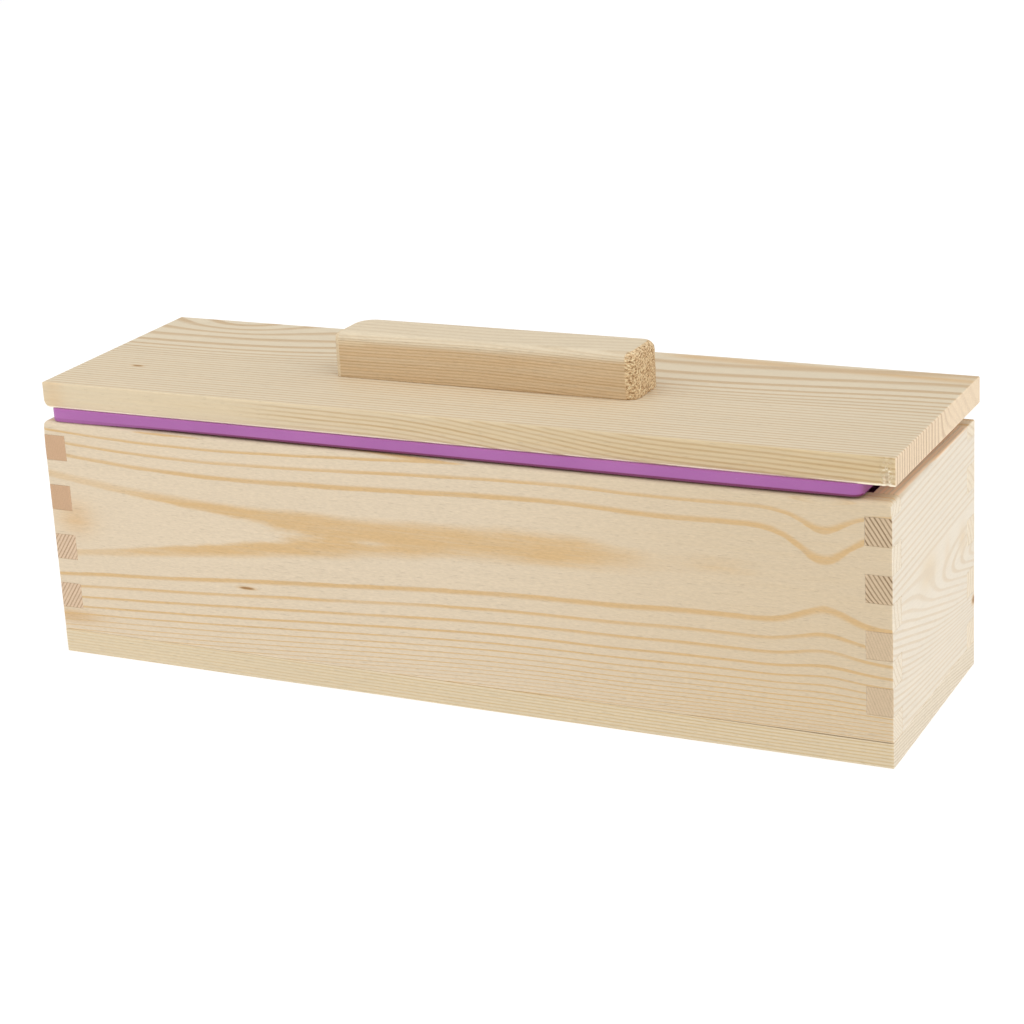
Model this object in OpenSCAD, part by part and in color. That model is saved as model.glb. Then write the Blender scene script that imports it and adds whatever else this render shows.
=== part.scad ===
// Loaf mould for soap: a finger-jointed pine box on a bottom board, a loose silicone
// liner whose flange lies on the box's rim, and a pine lid with a bar handle.
// The origin is the centre of the box's underside. +Z is up, +X runs along the length
// towards the right-hand end, and -Y is the front.

/* [Box] */
// Length of the box, outside
box_length = 285; // [240:5:360]
// Width of the box, outside
box_width = 82; // [76:1:120]
// Height of the four walls above the bottom board
wall_height = 72; // [60:1:110]
// Thickness of the wall boards
wall_thickness = 8; // [6:0.5:10]
// Thickness of the bottom board
bottom_thickness = 8; // [5:0.5:12]

/* [Finger joints] */
// Height of each finger on the end boards
finger_height = 8.5; // [6:0.5:10]
// Height of the part pin above the top finger
top_pin = 4.5; // [3:0.5:8]

/* [Liner] */
// Clearance between the liner's body and each end board, with the liner in the middle
liner_end_gap = 6.2; // [4:0.1:8]
// Thickness of the liner's walls and floor
liner_wall = 3; // [2:0.5:4]
// Clearance between the liner's body and the long boards, and under its floor
liner_gap = 0.5; // [0.3:0.1:1.5]
// How far the flange stands out from the liner's body
flange_reach = 8.1; // [4:0.1:8.2]
// Thickness of the flange
flange_thickness = 4.5; // [3:0.5:6]
// How far the loose liner lies towards the right-hand end
liner_shift = -2.9; // [-4:0.1:4]

/* [Lid] */
// Length of the lid board
lid_length = 285; // [240:5:360]
// Width of the lid board
lid_width = 83.5; // [76:0.5:120]
// Thickness of the lid board
lid_thickness = 8.4; // [6:0.2:12]
// How far the loose lid lies towards the right-hand end
lid_shift_x = 0.7; // [-3:0.1:3]
// How far the loose lid lies towards the back
lid_shift_y = 2; // [-3:0.1:3]

/* [Handle] */
// Length of the handle
handle_length = 103.5; // [70:0.5:160]
// Depth of the handle, front to back
handle_depth = 19.5; // [16:0.5:30]
// Height of the handle above the lid board
handle_height = 14.6; // [12:0.1:25]
// Radius of the handle's upright corners
handle_corner = 4.5; // [3:0.5:7]
// Rounding of the handle's top edges
handle_edge = 3; // [1:0.5:3]
// How far the handle lies to the right of the middle of the lid board
handle_shift_x = 0.6; // [-20:0.1:20]
// How far the handle lies behind the middle of the lid board
handle_shift_y = -1; // [-6:0.5:6]

/* [Fasteners] */
// Distance between the two handle screws
screw_spacing = 60; // [40:1:64]
// Length of the handle screws
screw_length = 18; // [14:1:20]
// Length of the bottom board's nails
nail_length = 25; // [20:1:32]

/* [Hidden] */

// Heights of the faces that the pieces share
box_top = bottom_thickness + wall_height;
lid_underside = box_top + flange_thickness;
lid_top = lid_underside + lid_thickness;
handle_middle = [lid_shift_x + handle_shift_x, lid_shift_y + handle_shift_y];

// Space between the wall boards
inner_length = box_length - 2 * wall_thickness;
inner_width = box_width - 2 * wall_thickness;

// Fingers are as far apart as they are high. The last wall pin takes what is left over.
finger_pitch = 2 * finger_height;
finger_count = floor((wall_height - top_pin) / finger_pitch + 0.4);
finger_bottoms = [for (i = [0:finger_count - 1])
    box_top - top_pin - finger_height - i * finger_pitch];

// Liner body and its corners
body_length = inner_length - 2 * liner_end_gap;
body_width = inner_width - 2 * liner_gap;
body_bottom = bottom_thickness + liner_gap;
body_corner = 5;
body_edge = 3;
cavity_corner = 3;
cavity_edge = 2;
flange_corner = 3;
flange_edge = 0.8;

// Countersunk wood screws up through the lid board, with cross recesses
screw_radius = 1.75;
screw_head_radius = 3.4;
screw_head_height = 2.2;
screw_tip = 4;
screw_clearance = 0.25;
screw_recess = 0.3;
drive_width = 0.9;
drive_reach = 3.4;
drive_depth = 1.3;

// Round-headed nails up through the bottom board, driven just below its face
nail_radius = 0.8;
nail_head_radius = 1.6;
nail_head_height = 0.8;
nail_recess = 0.4;
nail_clearance = 0.05;
nail_tip = 2;
nails_per_side = 4;
nail_inset = 22.5;
nail_row = box_width / 2 - wall_thickness / 2;
nail_step = (box_length - 2 * nail_inset) / (nails_per_side - 1);
nail_places = concat(
    [for (side = [-1, 1], i = [0:nails_per_side - 1])
        [i * nail_step + nail_inset - box_length / 2, side * nail_row]],
    [for (side = [-1, 1]) [side * (box_length - wall_thickness) / 2, 0]]);

cut = 1; // how far a cutting shape runs past the face it opens
$fn = 64;

// Cross-section of a bar with both top edges rounded, standing on the X axis
module bar_profile(half_width, height, edge) {
    translate([-half_width, 0]) square([2 * half_width, height - edge]);
    translate([edge - half_width, 0]) square([2 * (half_width - edge), height]);
    for (side = [-1, 1])
        translate([side * (half_width - edge), height - edge]) circle(edge);
}

// The right-hand half of that cross-section, to be turned about the Y axis
module button_profile(radius, height, edge) {
    intersection() {
        bar_profile(radius, height, edge);
        square([radius, height]);
    }
}

// Block on the XY plane with rounded upright corners and rounded top edges
module soft_block(length, width, height, corner, edge) {
    straight_x = length - 2 * corner;
    straight_y = width - 2 * corner;
    rotate([90, 0, 90]) translate([0, 0, -straight_x / 2])
        linear_extrude(straight_x) bar_profile(width / 2, height, edge);
    rotate([90, 0, 0]) translate([0, 0, -straight_y / 2])
        linear_extrude(straight_y) bar_profile(length / 2, height, edge);
    for (x = [-1, 1], y = [-1, 1])
        translate([x * straight_x / 2, y * straight_y / 2, 0])
            rotate_extrude() button_profile(corner, height, edge);
}

// The same block hanging from a height, with its bottom edges rounded
module hanging_block(top, length, width, height, corner, edge) {
    translate([0, 0, top]) mirror([0, 0, 1])
        soft_block(length, width, height, corner, edge);
}

// The stretches at both ends of a long wall board that the fingers fill
module finger_gaps(front_face) {
    for (side = [-1, 1], z = finger_bottoms)
        translate([side * (box_length + cut - wall_thickness) / 2, front_face, z + finger_height / 2])
            cube([wall_thickness + cut, 2 * wall_thickness + cut, finger_height], center = true);
}

// A long wall, at the front for side = -1 and at the back for side = 1
module long_board(side) {
    difference() {
        translate([-box_length / 2, side * nail_row - wall_thickness / 2, bottom_thickness])
            cube([box_length, wall_thickness, wall_height]);
        finger_gaps(side * box_width / 2);
    }
}

// An end wall with its fingers, at the left for side = -1 and at the right for side = 1
module end_board(side) {
    translate([side * (box_length - wall_thickness) / 2, 0, 0]) {
        translate([-wall_thickness / 2, -inner_width / 2, bottom_thickness])
            cube([wall_thickness, inner_width, wall_height]);
        for (z = finger_bottoms)
            translate([-wall_thickness / 2, -box_width / 2, z])
                cube([wall_thickness, box_width, finger_height]);
    }
}

module front_board() {
    color("#e3cda4") long_board(-1);
}

module back_board() {
    color("#e3cda4") long_board(1);
}

module left_end_board() {
    color("#e9d6b0") end_board(-1);
}

module right_end_board() {
    color("#e9d6b0") end_board(1);
}

// One nail, point up, with its head's face at the height z = 0
module nail(gap) {
    cylinder(h = nail_head_height + gap, r = nail_head_radius + gap);
    cylinder(h = nail_length - nail_tip, r = nail_radius);
    translate([0, 0, nail_length - nail_tip])
        cylinder(h = nail_tip, r1 = nail_radius, r2 = 0.1);
}

module bottom_board() {
    color("#dcc498") difference() {
        translate([-box_length / 2, -box_width / 2, 0])
            cube([box_length, box_width, bottom_thickness]);
        for (place = nail_places)
            translate([place[0], place[1], -cut])
                cylinder(h = cut + nail_recess + nail_head_height + nail_clearance,
                         r = nail_head_radius + nail_clearance);
    }
}

module bottom_nails() {
    color("#a9abad")
        for (place = nail_places)
            translate([place[0], place[1], nail_recess]) nail(0);
}

// Tray with a flange, open at the top
module liner() {
    color("#a766b0") translate([liner_shift, 0, 0]) difference() {
        union() {
            hanging_block(lid_underside, body_length + 2 * flange_reach,
                          body_width + 2 * flange_reach, flange_thickness,
                          flange_corner, flange_edge);
            hanging_block(lid_underside, body_length, body_width,
                          lid_underside - body_bottom, body_corner, body_edge);
        }
        hanging_block(lid_underside + cut, body_length - 2 * liner_wall,
                      body_width - 2 * liner_wall,
                      lid_underside + cut - body_bottom - liner_wall,
                      cavity_corner, cavity_edge);
    }
}

// Countersunk screw, point up, with its head's face at the height z = 0
module screw() {
    difference() {
        union() {
            cylinder(h = screw_head_height, r1 = screw_head_radius, r2 = screw_radius);
            cylinder(h = screw_length - screw_tip, r = screw_radius);
            translate([0, 0, screw_length - screw_tip])
                cylinder(h = screw_tip, r1 = screw_radius, r2 = 0.2);
        }
        for (turn = [0, 90])
            rotate([0, 0, turn]) translate([0, 0, drive_depth / 2 - cut / 2])
                cube([drive_reach, drive_width, drive_depth + cut], center = true);
    }
}

// Clearance hole and countersink for that screw
module screw_hole() {
    head_reach = screw_head_radius + screw_clearance;
    translate([0, 0, -cut]) cylinder(h = cut + screw_recess, r = head_reach);
    translate([0, 0, screw_recess])
        cylinder(h = screw_head_height, r1 = head_reach, r2 = screw_radius + screw_clearance);
    cylinder(h = lid_thickness + cut, r = screw_radius + screw_clearance);
}

// Places a shape at each of the two screws, on the lid's underside
module at_screws() {
    for (side = [-1, 1])
        translate([handle_middle[0] + side * screw_spacing / 2, handle_middle[1], lid_underside])
            children();
}

module lid_board() {
    color("#e6d2a9") difference() {
        translate([lid_shift_x - lid_length / 2, lid_shift_y - lid_width / 2, lid_underside])
            cube([lid_length, lid_width, lid_thickness]);
        at_screws() screw_hole();
    }
}

module lid_handle() {
    color("#d2ae7c") translate([handle_middle[0], handle_middle[1], lid_top])
        soft_block(handle_length, handle_depth, handle_height, handle_corner, handle_edge);
}

module handle_screws() {
    color("#c9b878") at_screws() translate([0, 0, screw_recess]) screw();
}

front_board();
back_board();
left_end_board();
right_end_board();
bottom_board();
bottom_nails();
liner();
lid_board();
lid_handle();
handle_screws();
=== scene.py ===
"""Looks of the soap loaf mould: boards with real grain, a silicone liner, and plain studio light.

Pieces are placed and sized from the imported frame. Meshes are in metres. The materials' fields are
in millimetres, and so is every name that ends in _mm.
"""

import math

import bmesh
import bpy
from mathutils import Matrix, Vector, noise


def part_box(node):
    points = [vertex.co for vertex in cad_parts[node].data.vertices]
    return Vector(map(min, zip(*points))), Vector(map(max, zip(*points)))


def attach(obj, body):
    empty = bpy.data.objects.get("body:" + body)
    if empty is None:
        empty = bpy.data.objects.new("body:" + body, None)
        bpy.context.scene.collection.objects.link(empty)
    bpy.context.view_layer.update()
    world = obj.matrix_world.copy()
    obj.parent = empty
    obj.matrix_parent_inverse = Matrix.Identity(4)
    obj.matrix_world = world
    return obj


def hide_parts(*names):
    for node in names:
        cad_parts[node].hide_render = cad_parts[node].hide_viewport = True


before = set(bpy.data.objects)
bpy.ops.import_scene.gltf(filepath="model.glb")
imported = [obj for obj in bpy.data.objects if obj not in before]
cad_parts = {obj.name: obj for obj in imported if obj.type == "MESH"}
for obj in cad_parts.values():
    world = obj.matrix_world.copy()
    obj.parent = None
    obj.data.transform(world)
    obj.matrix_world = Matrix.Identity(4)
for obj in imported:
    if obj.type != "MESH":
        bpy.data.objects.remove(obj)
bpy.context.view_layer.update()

MM = 0.001


# ---------------------------------------------------------------- fields: arithmetic on shader nodes

class Field:
    """A number that varies over a surface. Arithmetic on it adds Math nodes to its material."""

    def __init__(self, socket):
        self.socket = socket
        self.tree = socket.id_data

    def math(self, operation, *values):
        node = self.tree.nodes.new("ShaderNodeMath")
        node.operation = operation
        for slot, value in zip(node.inputs, (self, *values)):
            plug(value, slot)
        return Field(node.outputs[0])

    def __add__(self, other):
        return self.math("ADD", other)

    def __sub__(self, other):
        return self.math("SUBTRACT", other)

    def __mul__(self, other):
        return self.math("MULTIPLY", other)

    def __truediv__(self, other):
        return self.math("DIVIDE", other)

    def __rsub__(self, other):
        return (self * -1.0) + other

    def __neg__(self):
        return self * -1.0

    __radd__ = __add__
    __rmul__ = __mul__

    def above(self, low, high, least=0.0, most=1.0):
        """least up to low, most from high, and smooth in between."""
        node = self.tree.nodes.new("ShaderNodeMapRange")
        node.interpolation_type = "SMOOTHSTEP"
        for slot, value in zip(("Value", "From Min", "From Max", "To Min", "To Max"),
                               (self, low, high, least, most)):
            plug(value, node.inputs[slot])
        return Field(node.outputs["Result"])

    def hump(self, middle, width):
        """1 at middle, falling to 0 like a bell of that width."""
        off = (self - middle) / width
        return (-(off * off)).math("EXPONENT")


def plug(value, slot):
    """Sets a socket to a plain value, or links a Field or another socket to it."""
    if isinstance(value, Field):
        value.tree.links.new(value.socket, slot)
    elif isinstance(value, bpy.types.NodeSocket):
        value.id_data.links.new(value, slot)
    elif slot.type == "VECTOR":
        slot.default_value = value[:3]
    else:
        slot.default_value = value


def vector(tree, x, y, z):
    node = tree.nodes.new("ShaderNodeCombineXYZ")
    for slot, value in zip(node.inputs, (x, y, z)):
        plug(value, slot)
    return node.outputs[0]


def cloud(tree, place, detail=2.0, roughness=0.5):
    """Noise from -1 to 1 at a place, with features about 1 across."""
    node = tree.nodes.new("ShaderNodeTexNoise")
    plug(place, node.inputs["Vector"])
    node.inputs["Scale"].default_value = 1.0
    node.inputs["Detail"].default_value = detail
    node.inputs["Roughness"].default_value = roughness
    return Field(node.outputs["Fac"]) * 2.0 - 1.0


def dice(tree, value):
    """A random number from 0 to 1 for each whole number."""
    node = tree.nodes.new("ShaderNodeTexWhiteNoise")
    node.noise_dimensions = "1D"
    plug(value, node.inputs["W"])
    return Field(node.outputs["Value"])


def blend_colour(factor, low, high):
    """The colour low where factor is 0 and high where it is 1."""
    node = factor.tree.nodes.new("ShaderNodeMix")
    node.data_type = "RGBA"
    plug(factor, node.inputs[0])
    plug(low, node.inputs[6])
    plug(high, node.inputs[7])
    return node.outputs[2]


def scale_colour(colour, factor):
    """A colour made lighter or darker by a Field."""
    node = factor.tree.nodes.new("ShaderNodeVectorMath")
    node.operation = "SCALE"
    plug(colour, node.inputs[0])
    plug(factor, node.inputs["Scale"])
    return node.outputs[0]


def bumped(tree, height, depth_mm, strength):
    """The surface normal, tilted as if height stood that deep in the surface."""
    node = tree.nodes.new("ShaderNodeBump")
    node.inputs["Strength"].default_value = strength
    node.inputs["Distance"].default_value = depth_mm * MM
    plug(height, node.inputs["Height"])
    return node.outputs[0]


def srgb(red, green, blue):
    """A colour given as on a screen, 0 to 255, in the linear light that shaders use."""
    def linear(level):
        share = level / 255
        return share / 12.92 if share <= 0.04045 else ((share + 0.055) / 1.055) ** 2.4
    return (linear(red), linear(green), linear(blue), 1.0)


def new_material(name):
    """A material, its node tree, and its Principled shader."""
    made = bpy.data.materials.new(name)
    made.use_nodes = True
    return made, made.node_tree, made.node_tree.nodes["Principled BSDF"]


def split(tree, whole):
    """The three parts of a vector, as Fields."""
    parts = tree.nodes.new("ShaderNodeSeparateXYZ")
    plug(whole, parts.inputs[0])
    return [Field(out) for out in parts.outputs]


def object_mm(tree):
    """The three coordinates of the point on the object, in millimetres."""
    place = tree.nodes.new("ShaderNodeTexCoord").outputs["Object"]
    return [part * (1 / MM) for part in split(tree, place)]


def facing(tree):
    """How squarely the surface looks along each of the three axes, from 0 to 1."""
    normal = tree.nodes.new("ShaderNodeNewGeometry").outputs["Normal"]
    return [part.math("ABSOLUTE") for part in split(tree, normal)]


# ---------------------------------------------------------------- pine

FIRST_COUNT = 200.0                      # added to every ring count, to keep it above zero
ARRIS_HIGHLIGHT_REACH_MM = 0.9                     # how far from its arrises a board is painted paler, as a painted highlight
BUMP_DEPTH_MM, BUMP_STRENGTH = 0.10, 0.8
KNOT_HALO, KNOT_CORE = srgb(214, 178, 128), srgb(164, 124, 78)
# the first of these is a painted highlight: the near-white flecks on rough sawn end grain, for fibres
# that catch the light
SAWN_FIBRE_HIGHLIGHT, SAWN_DARK = srgb(255, 236, 194), srgb(144, 102, 60)
TORN_FIBRE = srgb(252, 242, 218)


def edge_share(place, node, reach_mm):
    """1 on the arrises of a CAD node's box, 0 further than reach_mm from them."""
    low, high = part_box(node)
    gaps = []
    for axis, value in enumerate(place):
        middle = (low[axis] + high[axis]) / 2 / MM
        half = (high[axis] - low[axis]) / 2 / MM
        gaps.append(half - (value - middle).math("ABSOLUTE"))
    a, b, c = gaps
    second = a.math("MINIMUM", b).math("MAXIMUM", a.math("MAXIMUM", b).math("MINIMUM", c))
    return second.above(0.0, reach_mm, 1.0, 0.0)


def pine(name, node, grain, rings, band, early=srgb(222, 204, 177), late=srgb(213, 179, 130),
         end=srgb(212, 184, 148), end_late=srgb(150, 118, 84), sway=0.25, waver=0.05,
         strength=None, end_strength=None, edge_rings=None, edge_late=None,
         stains_and_painted_light=(), end_stains=(), knots=(), torn=None,
         end_from=(0.45, 0.75), rough_ends=0.0, cell_mm=0.45, hair=0.04, seed=0.0):
    """Solid wood whose growth rings are a field in space, so they run on round every arris.

    grain is the number of the axis that the fibres follow. rings(x, y, z) counts the rings at a
    point in mm, and band is the part of each ring that is late wood: where it starts to show, is
    full, starts to fade and ends. early and late are the two colours on the faces, end and
    end_late on the end grain. sway and waver are how far the rings wander, over long and short
    stretches. strength and end_strength say how plain the rings are on the faces and on the end
    grain. edge_rings gives the rings of the faces that look along Y, and how plain they are, and
    edge_late the colour of their lines.
    stains and end_stains are (mask function, colour) pairs; in stains some boards also carry painted
    light: a painted highlight on the lid and painted bounce light on the right end board. knots are
    (centre, half sizes) in mm, for small pin knots that run through along the axis whose half size
    is None. torn is a mask function: where pale fibres stand out. end_from is how squarely a surface
    has to face along the grain to start being end grain and to be nothing else. rough_ends, 0 to 1,
    is how rough the saw left it, and how strongly its speckle is painted with highlight flecks;
    cell_mm is the size of its speckle. hair is how strongly the finest fibres show on the faces.
    seed makes each board's fibres its own.
    """
    made, tree, shader = new_material(name)
    place = object_mm(tree)
    x, y, z = place

    def drawn_out(length, width, shift=0.0):
        """Coordinates in which a shape of that length along the grain and that width is 1."""
        scaled = [value / (length if axis == grain else width) for axis, value in enumerate(place)]
        scaled[grain] = scaled[grain] + (seed + shift)
        return vector(tree, *scaled)

    drift = cloud(tree, drawn_out(110.0, 34.0)) * sway
    drift = drift + cloud(tree, drawn_out(22.0, 4.0), detail=1.0) * waver
    drift = drift + cloud(tree, drawn_out(4.0, 0.9, 13.0)) * (waver * 0.55)
    phase = rings(x, y, z) + drift + FIRST_COUNT
    looks = facing(tree)
    end_mask = looks[grain].above(*end_from)
    turn = phase.math("FRACT")
    rise, full, fade, fall = band
    ring = turn.above(rise, full) * turn.above(fade, fall, 1.0, 0.0)
    ring = ring * (dice(tree, phase.math("FLOOR") + seed) * 0.4 + 0.72)
    face_ring = ring if strength is None else ring * strength(x, y, z)
    if edge_rings is not None:
        edge_phase, edge_strength = edge_rings(x, y, z)
        edge_phase = edge_phase + drift * 2.4 + FIRST_COUNT
        edge_turn = edge_phase.math("FRACT")
        edge_ring = edge_turn.above(0.35, 0.65) * edge_turn.above(0.75, 1.0, 1.0, 0.0)
        edge_ring = edge_ring * edge_strength
        edge_ring = edge_ring * (dice(tree, edge_phase.math("FLOOR") + seed) * 0.6 + 0.6)
        front_mask = looks[1].above(0.5, 0.8)
        face_ring = face_ring * (1.0 - front_mask) + edge_ring * front_mask
    end_ring = ring if end_strength is None else ring * end_strength(x, y, z)

    fibre = cloud(tree, drawn_out(9.0, 0.42), detail=3.0, roughness=0.65)
    streak = cloud(tree, drawn_out(50.0, 1.7, 7.0), detail=3.0, roughness=0.55)
    patch = cloud(tree, drawn_out(60.0, 22.0, 3.0), detail=1.0)
    canals = cloud(tree, drawn_out(3.2, 0.26, 11.0), detail=0.0).above(0.48, 0.64)
    flecks = cloud(tree, drawn_out(1.6, 0.5, 5.0), detail=1.0).above(0.35, 0.75)
    hairs = cloud(tree, drawn_out(2.0, 0.38, 23.0), detail=1.0, roughness=0.7)

    colour = early
    # each entry tints the wood; most are its own stains, and some are painted light: the lid's painted
    # highlight and the right end board's painted bounce light
    for tint_field, tint_colour in stains_and_painted_light:
        mask = tint_field(x, y, z) * (1.0 + streak * 0.5)
        colour = blend_colour(mask, colour, tint_colour)
    line_colour = late if edge_rings is None else blend_colour(front_mask, late, edge_late)
    colour = blend_colour(face_ring * (1.0 + streak * 0.6 + fibre * 0.3), colour, line_colour)

    cell = cloud(tree, drawn_out(2.0 * cell_mm, cell_mm, 2.0), detail=3.0, roughness=0.7)
    rays = cloud(tree, drawn_out(1.5, 1.3, 9.0), detail=2.0)
    end_colour = blend_colour(end_ring, scale_colour(end, 1.0 + rays * 0.05), end_late)
    end_colour = scale_colour(end_colour, 1.0 + cell * (0.17 + rough_ends * 0.18))
    # painted highlight: on rough sawn ends the speckle is painted stronger, with near-white flecks for
    # the fibres that catch the light
    if rough_ends:
        pale, dark = cell.above(0.07, 0.22), cell.above(-0.24, -0.07, 1.0, 0.0)
        end_colour = blend_colour(pale * rough_ends * 0.95, end_colour, SAWN_FIBRE_HIGHLIGHT)
        end_colour = blend_colour(dark * rough_ends * 0.9, end_colour, SAWN_DARK)
    for tint_field, tint_colour in end_stains:
        end_colour = blend_colour(tint_field(x, y, z), end_colour, tint_colour)
    colour = blend_colour(end_mask, colour, end_colour)

    # painted highlight: near its arrises the board is painted paler, by an amount that varies along the
    # grain
    arris_highlight = edge_share(place, node, ARRIS_HIGHLIGHT_REACH_MM)
    tone = 1.0 + fibre * 0.060 + streak * 0.035 + patch * 0.022 + flecks * 0.025 + hairs * hair
    tone = tone - canals * (1.0 - end_mask) * 0.07 + arris_highlight * (0.06 + streak * 0.08)
    dents = 0.0
    for centre, half in knots:
        spot = 1.0
        for value, middle, width in zip(place, centre, half):
            if width:
                spot = value.hump(middle, width) * spot
        core = spot.above(0.35, 0.8)
        colour = blend_colour(spot.above(0.02, 0.5, 0.0, 0.5), colour, KNOT_HALO)
        colour = blend_colour(core, colour, KNOT_CORE)
        dents = core + dents
    if torn is not None:
        shreds = cloud(tree, drawn_out(1.1, 0.5, 17.0), detail=2.0, roughness=0.7).above(0.0, 0.22)
        colour = blend_colour(torn(x, y, z) * shreds, colour, TORN_FIBRE)
    plug(scale_colour(colour, tone), shader.inputs["Base Color"])

    plug(0.60 - face_ring * 0.10 + fibre * 0.07 + end_mask * 0.12, shader.inputs["Roughness"])
    shader.inputs["Specular IOR Level"].default_value = 0.3
    height = fibre * 0.5 + face_ring * (1.0 - end_mask) * 0.35 - canals * 0.6 - dents * 1.2
    height = height + end_mask * (cell * (0.8 + rough_ends * 3.2) - end_ring * 0.6)
    plug(bumped(tree, height, BUMP_DEPTH_MM, BUMP_STRENGTH), shader.inputs["Normal"])
    return made


# ---------------------------------------------------------------- meshes

def grid_steps(low, high, step, stops=()):
    """Places from low to high, with every stop among them and none further apart than step."""
    marks = sorted({low, high, *(s for s in stops if low < s < high)})
    places = [marks[0]]
    for start, stop in zip(marks, marks[1:]):
        count = max(1, math.ceil((stop - start) / step - 1e-6))
        places += [start + (stop - start) * (i + 1) / count for i in range(count)]
    return places


def cell_mesh(name, xs, ys, zs, filled):
    """A closed mesh of four-sided faces round the filled cells of a grid."""
    points, index, faces = [], {}, []

    def corner(i, j, k):
        key = (i, j, k)
        if key not in index:
            index[key] = len(points)
            points.append((xs[i], ys[j], zs[k]))
        return index[key]

    sizes = (len(xs) - 1, len(ys) - 1, len(zs) - 1)
    solid = {(i, j, k) for i in range(sizes[0]) for j in range(sizes[1]) for k in range(sizes[2])
             if filled((xs[i] + xs[i + 1]) / 2, (ys[j] + ys[j + 1]) / 2, (zs[k] + zs[k + 1]) / 2)}
    for cell in sorted(solid):
        for axis in range(3):
            for side in (0, 1):
                beside = list(cell)
                beside[axis] += 2 * side - 1
                if tuple(beside) in solid:
                    continue
                p, q = (axis + 1) % 3, (axis + 2) % 3
                loop = []
                for dp, dq in ((0, 0), (1, 0), (1, 1), (0, 1)):
                    at = list(cell)
                    at[axis] += side
                    at[p] += dp
                    at[q] += dq
                    loop.append(corner(*at))
                faces.append(loop if side else loop[::-1])
    mesh = bpy.data.meshes.new(name)
    mesh.from_pydata(points, [], faces)
    return mesh


def ease(mesh, width_mm):
    """Rounds every arris of a mesh that turns by more than 40 degrees."""
    shape = bmesh.new()
    shape.from_mesh(mesh)
    sharp = [e for e in shape.edges
             if len(e.link_faces) == 2 and e.calc_face_angle() > math.radians(40)]
    bmesh.ops.bevel(shape, geom=sharp, offset=width_mm * MM, segments=2, profile=0.5,
                    affect="EDGES", clamp_overlap=True)
    shape.to_mesh(mesh)
    shape.free()


def piece(name, mesh, body, material, node):
    """Makes a finished mesh a piece that rides on a body and stands for a CAD node."""
    for polygon in mesh.polygons:
        polygon.use_smooth = True
    made = bpy.data.objects.new(name, mesh)
    bpy.context.scene.collection.objects.link(made)
    made.data.materials.append(material)
    weighted = made.modifiers.new("face_weighted_normals", "WEIGHTED_NORMAL")
    weighted.weight = 80
    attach(made, body)
    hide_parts(node)


def shift_points(mesh, move):
    """Moves every point of a mesh by move(point)."""
    for v in mesh.vertices:
        v.co += move(v.co.copy())


def box_wobble(point):
    """The unevenness of a sanded wooden box: one field for all its boards, so joints stay shut."""
    at = point * 18.0
    return Vector((noise.noise(at + Vector((7, 0, 0))),
                   noise.noise(at + Vector((0, 31, 0))),
                   noise.noise(at + Vector((0, 0, 53))))) * 0.12 * MM


def arris_wear(point):
    """Rounds the box's outer arrises a little, and the two front top corners more."""
    gaps = [half_box[axis] - abs(point[axis] - box_centre[axis]) for axis in range(3)]
    if point.z < box_centre.z:
        gaps[2] = FAR
    corner = max(0.0, 1 - (front_high.z - point.z) / (9 * MM)) if point.y < 0 else 0.0
    radius = (0.45 + 1.2 * corner * corner) * MM
    over = [max(0.0, radius - gap) for gap in gaps]
    length = math.sqrt(sum(o * o for o in over))
    if length <= radius or sum(o > 0 for o in over) < 2:
        return Vector()
    shrink = 1 - radius / length
    return Vector([-math.copysign(o * shrink, point[axis] - box_centre[axis])
                   for axis, o in enumerate(over)])


def box_surface(point):
    """How far a point of the walls' plain shape moves to become the worn, uneven one."""
    return box_wobble(point) + arris_wear(point)


def lid_wobble(point):
    """The small unevenness of the lid."""
    at = point * 11.0 + Vector((3.3, 9.1, 4.7))
    return Vector((0.0, noise.noise(at) * 0.15, noise.noise(at + Vector((0, 0, 20))) * 0.10)) * MM


# ---------------------------------------------------------------- the box's frame of sizes

front_low, front_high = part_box("front_board")
back_low, back_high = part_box("back_board")
left_low, left_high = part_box("left_end_board")
right_low, right_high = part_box("right_end_board")
bottom_low, bottom_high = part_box("bottom_board")
liner_low, liner_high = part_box("liner")
lid_low, lid_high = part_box("lid_board")
handle_low, handle_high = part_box("lid_handle")

LEFT_INNER, RIGHT_INNER = left_high.x, right_low.x
FRONT_INNER, BACK_INNER = front_high.y, back_low.y


def finger_spans():
    """The heights between which each finger of an end board lies, read from its mesh."""
    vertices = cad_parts["left_end_board"].data.vertices
    middle = (front_low.y + front_high.y) / 2
    heights = sorted({round(v.co.z, 5) for v in vertices if v.co.y < middle})
    return list(zip(heights[0::2], heights[1::2]))


FINGERS = finger_spans()
box_centre = Vector(((left_low.x + right_high.x) / 2, (front_low.y + back_high.y) / 2,
                     (bottom_low.z + front_high.z) / 2))
half_box = Vector((right_high.x, back_high.y, front_high.z)) - box_centre
FAR = 1.0                                        # further away than anything on the box


def near(place, side, count=6, step_mm=0.3):
    """Close steps from an arris, up if side is 1 and down if -1, where a mesh is rounded or torn."""
    return [place + side * i * step_mm * MM for i in range(1, count + 1)]


def in_finger(z):
    return any(low < z < high for low, high in FINGERS)


finger_stops = [z for span in FINGERS for z in span]


def direction(azimuth, elevation):
    """The unit vector away from the object: azimuth 0 is its front, a quarter turn its right."""
    return Vector((math.sin(azimuth) * math.cos(elevation),
                   -math.cos(azimuth) * math.cos(elevation), math.sin(elevation)))


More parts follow.
